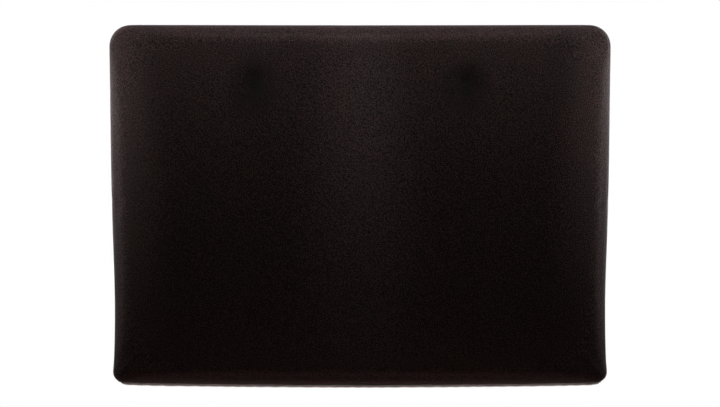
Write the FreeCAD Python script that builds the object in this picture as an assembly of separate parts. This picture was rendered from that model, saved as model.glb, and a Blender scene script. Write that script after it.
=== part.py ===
import FreeCAD, Part

import math
import os

# A wall punch pad: a foam-filled, cloth-covered strike pad that hangs on a pair of interlocking cleats.
#
# Millimetres. +X is to the right for someone facing the pad, +Y goes into the wall and +Z is up.
# The origin is the middle of the wall cleat's back face, so the wall is the plane Y = 0.
# "Depth" is the distance out from the wall, -Y. Going outwards there are the two cleats, the dust
# cover, the turned-in skirt, the board, the base, mid and front foams, and the strike cover.

# Outline of the pad
PAD_WIDTH = 700.0
PAD_HEIGHT = 500.0
PAD_TOP = 135.0  # height of the pad's top edge above the origin
TOP_CORNER = 30.0
BOTTOM_CORNER = 16.0
FACE_ROLL = 12.0  # radius of the face's edge

# Layers, by thickness
CLOTH = 1.6
DUST_SHEET = 0.8
BOARD = 15.0
BASE_FOAM = 22.0
MID_FOAM = 28.0
FRONT_FOAM = 21.5
EASE = 0.3  # room between pieces that can move against each other

# Cleats: one cross-section, used twice, the pad's one upside down
CLEAT_WALL = 3.0
CLEAT_FLANGE = 38.0
CLEAT_LENGTH = 560.0
PAD_CLEAT_LENGTH = 552.0
CLEAT_CLEARANCE = 0.25  # on each side of a hook
POCKET_HEIGHT = 15.0
HOOK_SHORT = 1.0  # the pad's hook stops this short of the pocket's floor, so its web carries the load

# Skirt and dust cover
BOARD_INSET = 5.0  # the board is smaller than the foam, so no hand meets its edge
SKIRT_LIP = 45.0  # how far the skirt is turned in, from the pad's outline
DUST_INSET = 12.0

# Fixings
WALL_HOLE_R = 2.75
WALL_HOLES_X = (-240.0, -80.0, 80.0, 240.0)
BOLTS_X = (-147.0, 147.0)
BOLT_R = 2.9
BOLT_HOLE_R = 3.3
CLEAT_SCREWS_X = (-250.0, -50.0, 50.0, 250.0)
SCREW_R = 2.0
SCREW_HEAD_R = 4.2
SCREW_HEAD = 2.6
SCREW_GRIP = 10.0  # length of thread in the board
BUMPERS_X = (-270.0, 270.0)
BUMPER_ABOVE_BOTTOM = 70.0

# Tee nuts, the foam cut away over them and the dents that leaves in the face
TEE_BARREL_R = 3.95
TEE_FLANGE_R = 9.5
TEE_FLANGE = 1.5
TEE_LENGTH = 12.0
TEE_RECESS = 1.6
POCKET_R = 14.0
DENT_R = 13.0
DENT_DEPTH = 2.5

# Bound seam along the bottom
BINDING_DROP = 5.5
BINDING_DEPTH = 6.0

# Positions that follow from these
HALF_WIDTH = PAD_WIDTH / 2
PAD_BOTTOM = PAD_TOP - PAD_HEIGHT
POCKET = 2 * (CLEAT_WALL + CLEAT_CLEARANCE)  # depth of the space behind a hook
PAD_BACK = POCKET + CLEAT_WALL + CLEAT_CLEARANCE + CLEAT_WALL
BOARD_BACK = PAD_BACK + DUST_SHEET
BOARD_FRONT = BOARD_BACK + BOARD
BASE_FRONT = BOARD_FRONT + BASE_FOAM
MID_FRONT = BASE_FRONT + MID_FOAM
FOAM_FRONT = MID_FRONT + FRONT_FOAM
FACE = FOAM_FRONT + EASE + CLOTH
SKIRT_BACK = BOARD_BACK - CLOTH
FOAM_INSET = CLOTH + EASE
SEAM_FRONT = FACE - FACE_ROLL
SEAM_BACK = SEAM_FRONT - BINDING_DEPTH
CLEAT_TOP = CLEAT_FLANGE / 2
SEAT_Z = CLEAT_TOP + POCKET_HEIGHT  # where the pad cleat's web rests on the wall cleat's hook
FIXING_Z = SEAT_Z + (CLEAT_WALL + CLEAT_FLANGE) / 2  # middle of the pad cleat's open flange
BUMPER_Z = PAD_BOTTOM + BUMPER_ABOVE_BOTTOM

OVER = 1.0  # how far a cutting shape runs past what it cuts
SAME = 1e-6  # lengths closer than this are equal
INTO_WALL = FreeCAD.Vector(0, 1, 0)


def point(x, depth, z):
    return FreeCAD.Vector(x, -depth, z)


def box(x_span, depth_span, z_span):
    """A block between two sides, two depths and two heights."""
    (left, right), (near, far), (low, high) = x_span, depth_span, z_span
    return Part.makeBox(right - left, far - near, high - low, point(left, far, low))


def rod(radius, x, z, depth_span):
    """A round bar, square to the wall."""
    near, far = depth_span
    return Part.makeCylinder(radius, far - near, point(x, far, z), INTO_WALL)


def rounded_at_depth(solid, depth, radius):
    """The solid with a radius on every edge that lies flat at one depth."""
    flat = [edge for edge in solid.Edges if edge.BoundBox.YLength < SAME]
    return solid.makeFillet(radius, [edge for edge in flat if abs(edge.BoundBox.YMin + depth) < SAME])


def rounded_at_height(solid, z, radius):
    """The solid with a radius on every edge that runs towards the wall at one height."""
    deep = [edge for edge in solid.Edges if edge.BoundBox.YLength > SAME and edge.BoundBox.ZLength < SAME]
    return solid.makeFillet(radius, [edge for edge in deep if abs(edge.BoundBox.ZMin - z) < SAME])


def slab(inset, depth_span, drop=0.0):
    """A plate with the pad's outline moved in by inset. drop lowers its bottom edge."""
    half = HALF_WIDTH - inset
    low, high = PAD_BOTTOM + inset - drop, PAD_TOP - inset
    block = box((-half, half), depth_span, (low, high))
    block = rounded_at_height(block, high, TOP_CORNER - inset)
    return rounded_at_height(block, low, BOTTOM_CORNER - inset)


def rolled_slab(inset, depth_span):
    """A slab with the pad's rolled face edge, moved in by inset as well."""
    return rounded_at_depth(slab(inset, depth_span), depth_span[1], FACE_ROLL - inset)


def bored(solid, radius, xs, z):
    """The solid with holes square to the wall, right through it."""
    return solid.cut([rod(radius, x, z, (-OVER, FACE + OVER)) for x in xs])


def dents(growth):
    """Two balls of space that just reach into the face, grown by the thickness of what they dent."""
    radius = (DENT_R**2 + DENT_DEPTH**2) / (2 * DENT_DEPTH)
    centre = FACE - DENT_DEPTH + radius
    return [Part.makeSphere(radius + growth, point(x, centre, FIXING_Z)) for x in BOLTS_X]


# Foam


def base_foam():
    """Dense closed-cell layer glued to the board."""
    return bored(slab(FOAM_INSET, (BOARD_FRONT, BASE_FRONT)), POCKET_R, BOLTS_X, FIXING_Z)


def mid_foam():
    """Medium layer that takes up most of a blow."""
    return bored(slab(FOAM_INSET, (BASE_FRONT, MID_FRONT)), POCKET_R, BOLTS_X, FIXING_Z)


def front_foam():
    """Soft layer with a rolled edge, right under the cloth."""
    return rolled_slab(FOAM_INSET, (MID_FRONT, FOAM_FRONT)).cut(dents(FOAM_INSET))


# Cloth


def cap():
    """All the cloth in front of the board: the face and four sides."""
    outer = rolled_slab(0, (BOARD_FRONT, FACE)).cut(dents(0))
    inner = rolled_slab(CLOTH, (BOARD_FRONT - OVER, FACE - CLOTH)).cut(dents(CLOTH))
    return outer.cut(inner)


def gusset_room(gap):
    """The part of the cap's bottom side that is a panel of its own, with a gap round it."""
    half = HALF_WIDTH - BOTTOM_CORNER + gap
    return box((-half, half), (BOARD_FRONT - OVER, SEAM_BACK + gap), (PAD_BOTTOM - OVER, PAD_BOTTOM + CLOTH))


def strike_cover():
    """Brushed stretch cloth over the face, the top, both sides and all four corners."""
    return cap().cut(gusset_room(EASE))


def bottom_gusset():
    """Panel that closes the underside, between the bound seam and the skirt."""
    return cap().common(gusset_room(0))


def seam_binding():
    """Bound seam that stands out below the bottom edge and dies away in the corners."""
    below = slab(0, (SEAM_BACK, SEAM_FRONT), drop=BINDING_DROP)
    clear = slab(-EASE, (SEAM_BACK - OVER, SEAM_FRONT + OVER))
    lowest = (PAD_BOTTOM - PAD_HEIGHT, PAD_BOTTOM + BOTTOM_CORNER / 3)
    return below.cut(clear).common(box((-PAD_WIDTH, PAD_WIDTH), (0, FACE), lowest))


def cover_skirt():
    """Cloth from the cap's back edge round the board, turned in over its back."""
    welt = slab(0, (BOARD_FRONT - CLOTH, BOARD_FRONT))
    wrap = slab(BOARD_INSET - CLOTH, (SKIRT_BACK, BOARD_FRONT))
    board_room = slab(BOARD_INSET, (BOARD_BACK, BOARD_FRONT + OVER))
    half = HALF_WIDTH - SKIRT_LIP
    window = box((-half, half), (0, FACE), (PAD_BOTTOM + SKIRT_LIP, PAD_TOP - SKIRT_LIP))
    return welt.fuse(wrap).removeSplitter().cut([board_room, window])


def dust_cover():
    """Thin sheet over the turned-in skirt, stepping down to the board inside it."""
    rim = slab(DUST_INSET, (SKIRT_BACK - DUST_SHEET, SKIRT_BACK))
    half = HALF_WIDTH - SKIRT_LIP
    low, high = PAD_BOTTOM + SKIRT_LIP, PAD_TOP - SKIRT_LIP
    step = box((-half, half), (SKIRT_BACK - DUST_SHEET, BOARD_BACK), (low, high))
    half, low, high = half - DUST_SHEET, low + DUST_SHEET, high - DUST_SHEET
    sheet = rim.fuse(step).removeSplitter().cut(box((-half, half), (0, PAD_BACK), (low, high)))
    sheet = bored(sheet, BOLT_HOLE_R, BOLTS_X, FIXING_Z)
    sheet = bored(sheet, SCREW_R + EASE, CLEAT_SCREWS_X, FIXING_Z)
    return bored(sheet, SCREW_R + EASE, BUMPERS_X, BUMPER_Z)


# Staples

CROWN = 10.0
WIRE_THICK = 0.7
WIRE_WIDTH = 1.2
STAPLE_LENGTH = 8.0


def staple(x, z, back, along_x):
    """One staple driven out from the wall, with the back of its crown at a given depth."""
    reach = CROWN / 2
    crown = ((-reach, reach), WIRE_THICK)
    legs = [((-reach, WIRE_THICK - reach), STAPLE_LENGTH), ((reach - WIRE_THICK, reach), STAPLE_LENGTH)]
    across = (-WIRE_WIDTH / 2, WIRE_WIDTH / 2)
    bars = []
    for along, length in [crown, *legs]:
        x_span, z_span = (along, across) if along_x else (across, along)
        bar = box(x_span, (back, back + length), z_span)
        bar.translate(FreeCAD.Vector(x, 0, z))
        bars.append(bar)
    return bars[0].fuse(bars[1:]).removeSplitter()


def evenly(low, high, pitch):
    """Positions about a pitch apart, starting and ending half a pitch in."""
    count = round((high - low) / pitch)
    return [low + (high - low) * (number + 0.5) / count for number in range(count)]


def staple_rows(inset, pitch, back):
    """Staples along the four sides of a rectangle moved in from the pad's outline."""
    half, low, high = HALF_WIDTH - inset, PAD_BOTTOM + inset, PAD_TOP - inset
    staples = [staple(x, z, back, True) for x in evenly(-half, half, pitch) for z in (low, high)]
    staples += [staple(x, z, back, False) for z in evenly(low, high, pitch) for x in (-half, half)]
    return Part.makeCompound(staples)


def cover_staples():
    """Hold the skirt to the board. Their crowns sink into the cloth, under the dust cover."""
    return staple_rows(30.0, 42.0, SKIRT_BACK)


def dust_cover_staples():
    """Hold the dust cover's edge, through the skirt."""
    return staple_rows(18.0, 66.0, SKIRT_BACK - DUST_SHEET - WIRE_THICK)


# Board and fixings

PUSH_FIT = 0.05


def backing_board():
    """Birch plywood with an eased back edge, seats for the tee nuts and pilot holes."""
    plate = rounded_at_depth(slab(BOARD_INSET, (BOARD_BACK, BOARD_FRONT)), BOARD_BACK, 2.0)
    plate = bored(plate, TEE_BARREL_R + PUSH_FIT, BOLTS_X, FIXING_Z)
    seat = (BOARD_FRONT - TEE_RECESS, FACE)
    seats = [rod(TEE_FLANGE_R + EASE, x, FIXING_Z, seat) for x in BOLTS_X]
    pilot = (0, BOARD_BACK + SCREW_GRIP + OVER)
    pilots = [rod(SCREW_R + PUSH_FIT, x, FIXING_Z, pilot) for x in CLEAT_SCREWS_X]
    pilots += [rod(SCREW_R + PUSH_FIT, x, BUMPER_Z, pilot) for x in BUMPERS_X]
    return plate.cut(seats + pilots)


def tee_nut(x):
    """Tee nut pushed in from the board's front, its flange down in a recess."""
    back = BOARD_FRONT - TEE_RECESS
    front = back + TEE_FLANGE
    flange = rod(TEE_FLANGE_R, x, FIXING_Z, (back, front))
    barrel = rod(TEE_BARREL_R, x, FIXING_Z, (front - TEE_LENGTH, front))
    return bored(flange.fuse(barrel).removeSplitter(), BOLT_R + PUSH_FIT, [x], FIXING_Z)


def tee_nuts():
    return Part.makeCompound([tee_nut(x) for x in BOLTS_X])


def wood_screw(x, z, seat):
    """Pan-head screw with a cross recess. Its head bears on a surface at the seat's depth."""
    head_round, arm, half_slot, slot_depth = 1.3, 2.2, 0.45, 1.6
    top = seat - SCREW_HEAD
    head = rounded_at_depth(rod(SCREW_HEAD_R, x, z, (top, seat)), top, head_round)
    slot = (top, top + slot_depth)
    across = box((x - arm, x + arm), slot, (z - half_slot, z + half_slot))
    upright = box((x - half_slot, x + half_slot), slot, (z - arm, z + arm))
    shank = rod(SCREW_R, x, z, (seat, BOARD_BACK + SCREW_GRIP))
    return head.cut([across, upright]).fuse(shank).removeSplitter()


# Cleats


def wall_cleat():
    """Aluminium profile screwed to the wall, with its hook pointing up."""
    length = (-CLEAT_LENGTH / 2, CLEAT_LENGTH / 2)
    flange = box(length, (0, CLEAT_WALL), (-CLEAT_TOP, CLEAT_TOP))
    web = box(length, (0, POCKET + CLEAT_WALL), (CLEAT_TOP - CLEAT_WALL, CLEAT_TOP))
    hook = box(length, (POCKET, POCKET + CLEAT_WALL), (CLEAT_TOP - CLEAT_WALL, SEAT_Z))
    return bored(flange.fuse([web, hook]).removeSplitter(), WALL_HOLE_R, WALL_HOLES_X, 0)


def pad_cleat():
    """The same profile upside down, fixed to the pad. Its web rests on the wall cleat's hook."""
    length = (-PAD_CLEAT_LENGTH / 2, PAD_CLEAT_LENGTH / 2)
    hook_back = CLEAT_WALL + CLEAT_CLEARANCE
    flange = box(length, (PAD_BACK - CLEAT_WALL, PAD_BACK), (SEAT_Z, SEAT_Z + CLEAT_FLANGE))
    web = box(length, (hook_back, PAD_BACK), (SEAT_Z, SEAT_Z + CLEAT_WALL))
    hook_span = (CLEAT_TOP + HOOK_SHORT, SEAT_Z + CLEAT_WALL)
    hook = box(length, (hook_back, hook_back + CLEAT_WALL), hook_span)
    profile = flange.fuse([web, hook]).removeSplitter()
    profile = bored(profile, BOLT_HOLE_R, BOLTS_X, FIXING_Z)
    return bored(profile, SCREW_R + EASE, CLEAT_SCREWS_X, FIXING_Z)


def end_cap(side):
    """Moulded cap on the wall cleat's end. A peg in the pocket stops the pad sliding off sideways."""
    cap_thick, cap_round, peg_length, slack = 3.0, 1.2, 3.0, 0.1
    end = side * CLEAT_LENGTH / 2
    outer = end + side * cap_thick
    plate = box(sorted((end, outer)), (0, POCKET + CLEAT_WALL), (-CLEAT_TOP, SEAT_Z))
    flat = [edge for edge in plate.Edges if edge.BoundBox.XLength < SAME]
    plate = plate.makeFillet(cap_round, [edge for edge in flat if abs(edge.BoundBox.XMin - outer) < SAME])
    peg_span = sorted((end, end - side * peg_length))
    peg = box(peg_span, (slack, POCKET - slack), (CLEAT_TOP + slack, SEAT_Z))
    return plate.fuse(peg).removeSplitter()


WASHER = 1.2
WASHER_R = 6.2
BOLT_SEAT = PAD_BACK - CLEAT_WALL - WASHER
BOLT_LENGTH = 16.0


def bolt(x):
    """M6 button-head screw with a hexagon socket, driven from the wall side."""
    head_r, head, head_round, socket_width, socket_depth = 5.25, 3.3, 2.4, 4.0, 2.0
    top = BOLT_SEAT - head
    button = rounded_at_depth(rod(head_r, x, FIXING_Z, (top, BOLT_SEAT)), top, head_round)
    corner_r = socket_width / math.sqrt(3)
    corners = []
    for number in range(7):
        angle = math.radians(60 * number)
        corners.append(point(x + corner_r * math.cos(angle), top, FIXING_Z + corner_r * math.sin(angle)))
    socket = Part.Face(Part.makePolygon(corners)).extrude(-socket_depth * INTO_WALL)
    shank = rod(BOLT_R, x, FIXING_Z, (BOLT_SEAT, BOLT_SEAT + BOLT_LENGTH))
    return button.cut(socket).fuse(shank).removeSplitter()


def pad_cleat_bolts():
    return Part.makeCompound([bolt(x) for x in BOLTS_X])


def pad_cleat_washers():
    discs = [rod(WASHER_R, x, FIXING_Z, (BOLT_SEAT, BOLT_SEAT + WASHER)) for x in BOLTS_X]
    return Part.makeCompound([bored(disc, BOLT_HOLE_R, BOLTS_X, FIXING_Z) for disc in discs])


def pad_cleat_screws():
    seat = PAD_BACK - CLEAT_WALL
    return Part.makeCompound([wood_screw(x, FIXING_Z, seat) for x in CLEAT_SCREWS_X])


# Bumpers

BUMPER_R = 16.0
BUMPER_TIP_R = 13.0
BUMPER_TIP_ROUND = 1.5
BUMPER_RECESS_R = 5.4
BUMPER_RECESS = 6.5


def bumper(x):
    """Rubber buffer between the pad's lower corner and the wall, as thick as the two cleats."""
    foot = point(x, PAD_BACK, BUMPER_Z)
    cone = Part.makeCone(BUMPER_R, BUMPER_TIP_R, PAD_BACK, foot, INTO_WALL)
    cone = rounded_at_depth(cone, 0, BUMPER_TIP_ROUND)
    recess = rod(BUMPER_RECESS_R, x, BUMPER_Z, (-OVER, BUMPER_RECESS))
    return bored(cone.cut(recess), SCREW_R + EASE, [x], BUMPER_Z)


def bumper_screws():
    return Part.makeCompound([wood_screw(x, BUMPER_Z, BUMPER_RECESS) for x in BUMPERS_X])


PIECES = {
    "wall_cleat": wall_cleat(),
    "end_cap_left": end_cap(-1),
    "end_cap_right": end_cap(1),
    "pad_cleat": pad_cleat(),
    "pad_cleat_bolts": pad_cleat_bolts(),
    "pad_cleat_washers": pad_cleat_washers(),
    "pad_cleat_screws": pad_cleat_screws(),
    "tee_nuts": tee_nuts(),
    "backing_board": backing_board(),
    "base_foam": base_foam(),
    "mid_foam": mid_foam(),
    "front_foam": front_foam(),
    "strike_cover": strike_cover(),
    "bottom_gusset": bottom_gusset(),
    "seam_binding": seam_binding(),
    "cover_skirt": cover_skirt(),
    "cover_staples": cover_staples(),
    "dust_cover": dust_cover(),
    "dust_cover_staples": dust_cover_staples(),
    "bumper_left": bumper(BUMPERS_X[0]),
    "bumper_right": bumper(BUMPERS_X[1]),
    "bumper_screws": bumper_screws(),
}

os.makedirs("parts", exist_ok=True)
for name, shape in PIECES.items():
    if not shape.isValid():
        raise ValueError(f"{name} is not a valid shape")
    shape.exportStep(f"parts/{name}.step")
    print(f"{name}: {len(shape.Solids)} solid(s), {shape.Volume / 1000:.1f} cm3")
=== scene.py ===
import math

import bpy
import numpy as np
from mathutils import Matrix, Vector
from mathutils.kdtree import KDTree


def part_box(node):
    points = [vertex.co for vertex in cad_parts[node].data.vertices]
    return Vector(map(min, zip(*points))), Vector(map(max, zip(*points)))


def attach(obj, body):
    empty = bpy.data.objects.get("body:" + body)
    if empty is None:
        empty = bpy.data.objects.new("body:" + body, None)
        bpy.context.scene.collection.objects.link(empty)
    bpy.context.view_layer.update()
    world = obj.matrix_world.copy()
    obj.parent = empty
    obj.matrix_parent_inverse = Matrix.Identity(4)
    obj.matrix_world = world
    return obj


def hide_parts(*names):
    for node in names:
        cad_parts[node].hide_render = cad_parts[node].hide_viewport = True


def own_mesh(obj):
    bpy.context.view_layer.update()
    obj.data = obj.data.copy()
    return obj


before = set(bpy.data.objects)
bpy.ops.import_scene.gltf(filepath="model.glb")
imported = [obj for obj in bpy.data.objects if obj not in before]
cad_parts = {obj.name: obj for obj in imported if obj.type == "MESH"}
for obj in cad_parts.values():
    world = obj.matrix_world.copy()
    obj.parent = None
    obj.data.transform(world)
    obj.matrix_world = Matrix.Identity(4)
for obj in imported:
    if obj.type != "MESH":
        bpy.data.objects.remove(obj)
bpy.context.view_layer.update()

# Everything is in metres. "Depth" is the distance out from the wall, -Y.
MM = 0.001

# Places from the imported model
COVER_LOW, COVER_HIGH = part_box("strike_cover")
BOARD_LOW, BOARD_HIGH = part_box("backing_board")
MID_LOW, MID_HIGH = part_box("mid_foam")
FRONT_LOW, FRONT_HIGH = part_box("front_foam")
SKIRT_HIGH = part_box("cover_skirt")[1]
DUST_LOW, DUST_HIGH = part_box("dust_cover")
BINDING_LOW, BINDING_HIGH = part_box("seam_binding")
GUSSET_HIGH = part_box("bottom_gusset")[1]
CLEAT_LOW, CLEAT_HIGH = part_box("pad_cleat")
TEE_LOW, TEE_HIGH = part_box("tee_nuts")
BUMPER_LOW, BUMPER_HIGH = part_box("bumper_right")

# Half sizes, depths, and insets from the pad's outline
HALF_WIDTH = COVER_HIGH.x
HALF_HEIGHT = (COVER_HIGH.z - COVER_LOW.z) / 2
MIDDLE_Z = (COVER_HIGH.z + COVER_LOW.z) / 2
FACE = -COVER_LOW.y
FOAM_FRONT = -FRONT_LOW.y
MID_FRONT = -MID_LOW.y
BASE_FRONT = -MID_HIGH.y
BOARD_FRONT = -BOARD_LOW.y
BOARD_BACK = -BOARD_HIGH.y
SKIRT_BACK = -SKIRT_HIGH.y
SHEET_RIM = -DUST_HIGH.y
SEAM_FRONT = -BINDING_LOW.y
SEAM_BACK = -BINDING_HIGH.y
PAD_BACK = -CLEAT_LOW.y
BOARD_INSET = HALF_WIDTH - BOARD_HIGH.x
FOAM_INSET = HALF_WIDTH - FRONT_HIGH.x
DUST_INSET = HALF_WIDTH - DUST_HIGH.x
GUSSET_HALF = GUSSET_HIGH.x

# The dents lie over the tee nuts
TEE_R = (TEE_HIGH.z - TEE_LOW.z) / 2
DENT_X = TEE_HIGH.x - TEE_R
DENT_Z = (TEE_HIGH.z + TEE_LOW.z) / 2

# Shapes of the soft parts
TOP_CORNER = 30 * MM
BOTTOM_CORNER = 16 * MM
FACE_ROLL = FACE - SEAM_FRONT  # radius of the face's rolled edge
CLOTH = 1.4 * MM
SKIRT_LIP = 45 * MM  # the skirt's inner edge, from the pad's outline
LAYER_GAP = 0.3 * MM  # between the mid foam and the front foam
CROWN = 4.5 * MM  # the most that the blown-up face stands out past the flat one

TINY = 1e-9  # keeps a division from being by nothing
SAME = 1e-6  # depths closer than this are the same


# Meshes ---------------------------------------------------


def smooth_step(low, high, value):
    share = np.clip((value - low) / (high - low), 0, 1)
    return share * share * (3 - 2 * share)


CROWDING = 0.65  # how much closer together a grid's lines are near the corners, from 0 to 1
SHARPEST = 0.1 * MM  # the smallest corner radius of a ring
CORNER_REACH = 1.3  # how far a corner is felt along the straights, in corner radii


class Outline:
    """The pad's outline as a grid of cells: its edge gives the rings that the soft parts are made of."""

    def __init__(self, cells_x, cells_z):
        self.cells_x, self.cells_z = cells_x, cells_z
        self.across, self.upward = self.spaced(cells_x), self.spaced(cells_z)
        along, up = self.across[:-1], self.upward[:-1]
        self.s = np.concatenate([along, np.ones(cells_z), -along, -np.ones(cells_z)])
        self.t = np.concatenate([-np.ones(cells_x), up, np.ones(cells_x), -up])
        self.count = len(self.s)

    @staticmethod
    def spaced(cells):
        """Places from -1 to 1, closer together towards both ends, where the corners are."""
        even = np.linspace(-1, 1, cells + 1)
        return even * (1 - CROWDING) + np.sin(even * math.pi / 2) * CROWDING

    def ring(self, inset, s=None, t=None, share=1.0):
        """Points once round the outline, moved in by inset, then shrunk about the pad's middle."""
        s, t = (self.s, self.t) if s is None else (s, t)
        half_x, half_z = (HALF_WIDTH - inset) * share, (HALF_HEIGHT - inset) * share
        corner = np.where(t > 0, TOP_CORNER, BOTTOM_CORNER) - inset
        radius = np.maximum(np.maximum(corner, SHARPEST) * share**3, TINY)
        x, z = np.abs(s) * half_x, np.abs(t) * half_z
        up_side = np.clip((z - half_z + radius) / radius, 0, 1)
        along_top = np.clip((x - half_x + radius) / radius, 0, 1)
        rounded = (up_side > 0) & (along_top > 0)
        turn = np.where(up_side < along_top, up_side, 2 - along_top) * math.pi / 4
        x = np.where(rounded, half_x - radius + radius * np.cos(turn), x)
        z = np.where(rounded, half_z - radius + radius * np.sin(turn), z)
        return np.sign(s) * x, np.sign(t) * z + MIDDLE_Z

    def cornering(self, inset):
        """For each point of a ring: 1 halfway round a corner, falling to 0 on the straights."""
        half_x, half_z = HALF_WIDTH - inset, HALF_HEIGHT - inset
        reach = np.where(self.t > 0, TOP_CORNER, BOTTOM_CORNER)
        to_side = (half_x - np.abs(self.s) * half_x) / reach
        to_end = (half_z - np.abs(self.t) * half_z) / reach
        return 1 - smooth_step(0, CORNER_REACH, np.maximum(to_side, to_end))

    def plate(self, inset):
        """Points of a grid that fills the outline, and the point numbers of its edge in ring order."""
        s, t = (axis.ravel() for axis in np.meshgrid(self.across, self.upward, indexing="ij"))
        share = np.maximum(np.abs(s), np.abs(t))
        safe = np.maximum(share, TINY)
        x, z = self.ring(inset, s / safe, t / safe, share)
        across, up = np.arange(self.cells_x), np.arange(self.cells_z)
        full_x, full_z = np.full(self.cells_z, self.cells_x), np.full(self.cells_x, self.cells_z)
        columns = np.concatenate([across, full_x, self.cells_x - across, full_x * 0])
        rows = np.concatenate([full_z * 0, up, full_z, self.cells_z - up])
        return x, z, columns * (self.cells_z + 1) + rows

    def plate_faces(self, facing_wall=False):
        faces = []
        for column in range(self.cells_x):
            for row in range(self.cells_z):
                a = column * (self.cells_z + 1) + row
                b = a + self.cells_z + 1
                faces.append((a, a + 1, b + 1, b) if facing_wall else (a, b, b + 1, a + 1))
        return faces


def ring_faces(inner, outer):
    """Faces between two closed loops of point numbers. They face out where outer is further back."""
    after = [*range(1, len(inner)), 0]
    return [(inner[i], outer[i], outer[j], inner[j]) for i, j in enumerate(after)]


def loft(outline, rings, plate=None):
    """Points and faces of a surface through rings of (inset, depth), from the front to the back, which
    starts with a flat plate if plate is given as (inset, depth). Also each ring's point numbers."""
    points, faces, loops = [], [], []
    total = 0
    if plate:
        x, z, edge = outline.plate(plate[0])
        points.append(np.column_stack([x, np.full(len(x), -plate[1]), z]))
        faces += outline.plate_faces()
        loops.append(edge)
        total = len(x)
    for inset, depth in rings:
        x, z = outline.ring(inset)
        points.append(np.column_stack([x, np.full(len(x), -depth), z]))
        loops.append(np.arange(total, total + len(x)))
        total += len(x)
    for inner, outer in zip(loops, loops[1:]):
        faces += ring_faces(inner, outer)
    return np.concatenate(points), faces, loops


def make_piece(name, points, faces):
    mesh = bpy.data.meshes.new(name)
    mesh.from_pydata(np.asarray(points).tolist(), [], [[int(i) for i in face] for face in faces])
    mesh.polygons.foreach_set("use_smooth", [True] * len(mesh.polygons))
    mesh.update()
    piece = bpy.data.objects.new(name, mesh)
    bpy.context.scene.collection.objects.link(piece)
    return piece


def without_spares(points, faces):
    """The points that the faces use, and the faces renumbered to match."""
    used = np.unique(np.concatenate([np.array(face) for face in faces]))
    place = {int(old): new for new, old in enumerate(used)}
    return points[used], [tuple(place[int(i)] for i in face) for face in faces]


def thicken(piece, thickness):
    shell = piece.modifiers.new("thickness", "SOLIDIFY")
    shell.thickness = thickness
    shell.offset = -1


def subdivide(piece, levels=1):
    finer = piece.modifiers.new("finer", "SUBSURF")
    finer.levels = finer.render_levels = levels


ANY_WAY = (0.31, 0.77, 0.55)  # in line with none of the paths
THREAD_R = 0.3 * MM
THREAD_SIDES = 5


def frames_along(path):
    """Two unit directions across a path at each of its points, turning as little as they can."""
    tangents = np.gradient(path, axis=0)
    tangents /= np.linalg.norm(tangents, axis=1)[:, None]
    side = np.cross(tangents[0], ANY_WAY)
    sides = []
    for tangent in tangents:
        side = side - tangent * (side @ tangent)
        side = side / np.linalg.norm(side)
        sides.append(side)
    sides = np.array(sides)
    return sides, np.cross(tangents, sides)


def tube_cells(length, around):
    """The faces of a tube's side, each as its first point and the point beside that on the same ring."""
    for step in range(length - 1):
        for k in range(around):
            yield step * around + k, step * around + (k + 1) % around


def thread_tube(path):
    """Points and faces of a round thread along a path, closed at its ends."""
    sides, ups = frames_along(path)
    count = THREAD_SIDES
    angles = (np.arange(count) * 2 * math.pi / count)[None, :, None]
    offsets = np.cos(angles) * sides[:, None] + np.sin(angles) * ups[:, None]
    points = (path[:, None] + THREAD_R * offsets).reshape(-1, 3)
    faces = [(a, b, b + count, a + count) for a, b in tube_cells(len(path), count)]
    last = (len(path) - 1) * count
    faces.append(tuple(range(count - 1, -1, -1)))
    faces.append(tuple(range(last, last + count)))
    return points, faces


def joined(parts):
    """Several (points, faces) as one."""
    points, faces, total = [], [], 0
    for part_points, part_faces in parts:
        points.append(part_points)
        faces += [tuple(i + total for i in face) for face in part_faces]
        total += len(part_points)
    return np.concatenate(points), faces


def distances(path):
    """The distance along a path to each of its points."""
    return np.concatenate([[0], np.cumsum(np.linalg.norm(np.diff(path, axis=0), axis=1))])


def read_at(places, run, values):
    """Points or directions given at the distances run, read at other places along the same path."""
    return np.column_stack([np.interp(places, run, values[:, axis]) for axis in range(3)])


def evenly_spaced(path, step):
    """The path again, with points about a step apart, and the distance along it to each."""
    run = distances(path)
    count = max(2, round(run[-1] / step) + 1)
    places = np.linspace(0, run[-1], count)
    return read_at(places, run, path), places


# One stitch: shares of its length, and how high the thread is there as a share of its height
STITCH_ARCH = [(0.0, -0.5), (0.12, 0.5), (0.5, 1.0), (0.88, 0.5), (1.0, -0.5)]
STITCH_HEIGHT = 0.35 * MM


def stitches(path, outward, pitch, gap):
    """A row of sewn stitches along a path. outward is the cloth's normal at each point of the path."""
    run = distances(path)
    shares, rises = np.array(STITCH_ARCH).T
    parts = []
    for number in range(int(run[-1] / pitch)):
        places = number * pitch + gap / 2 + shares * (pitch - gap)
        lift = read_at(places, run, outward) * rises[:, None] * STITCH_HEIGHT
        parts.append(thread_tube(read_at(places, run, path) + lift))
    return joined(parts)


# Cloth ----------------------------------------------------

SIM_FRAMES = 20
SIM_PRESSURE = 0.6
SIDE_GIVE = 0.35  # the glued sides move less than the face
QUICK_SWELL = 4 * MM
QUICK_REACH = 60 * MM


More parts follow.
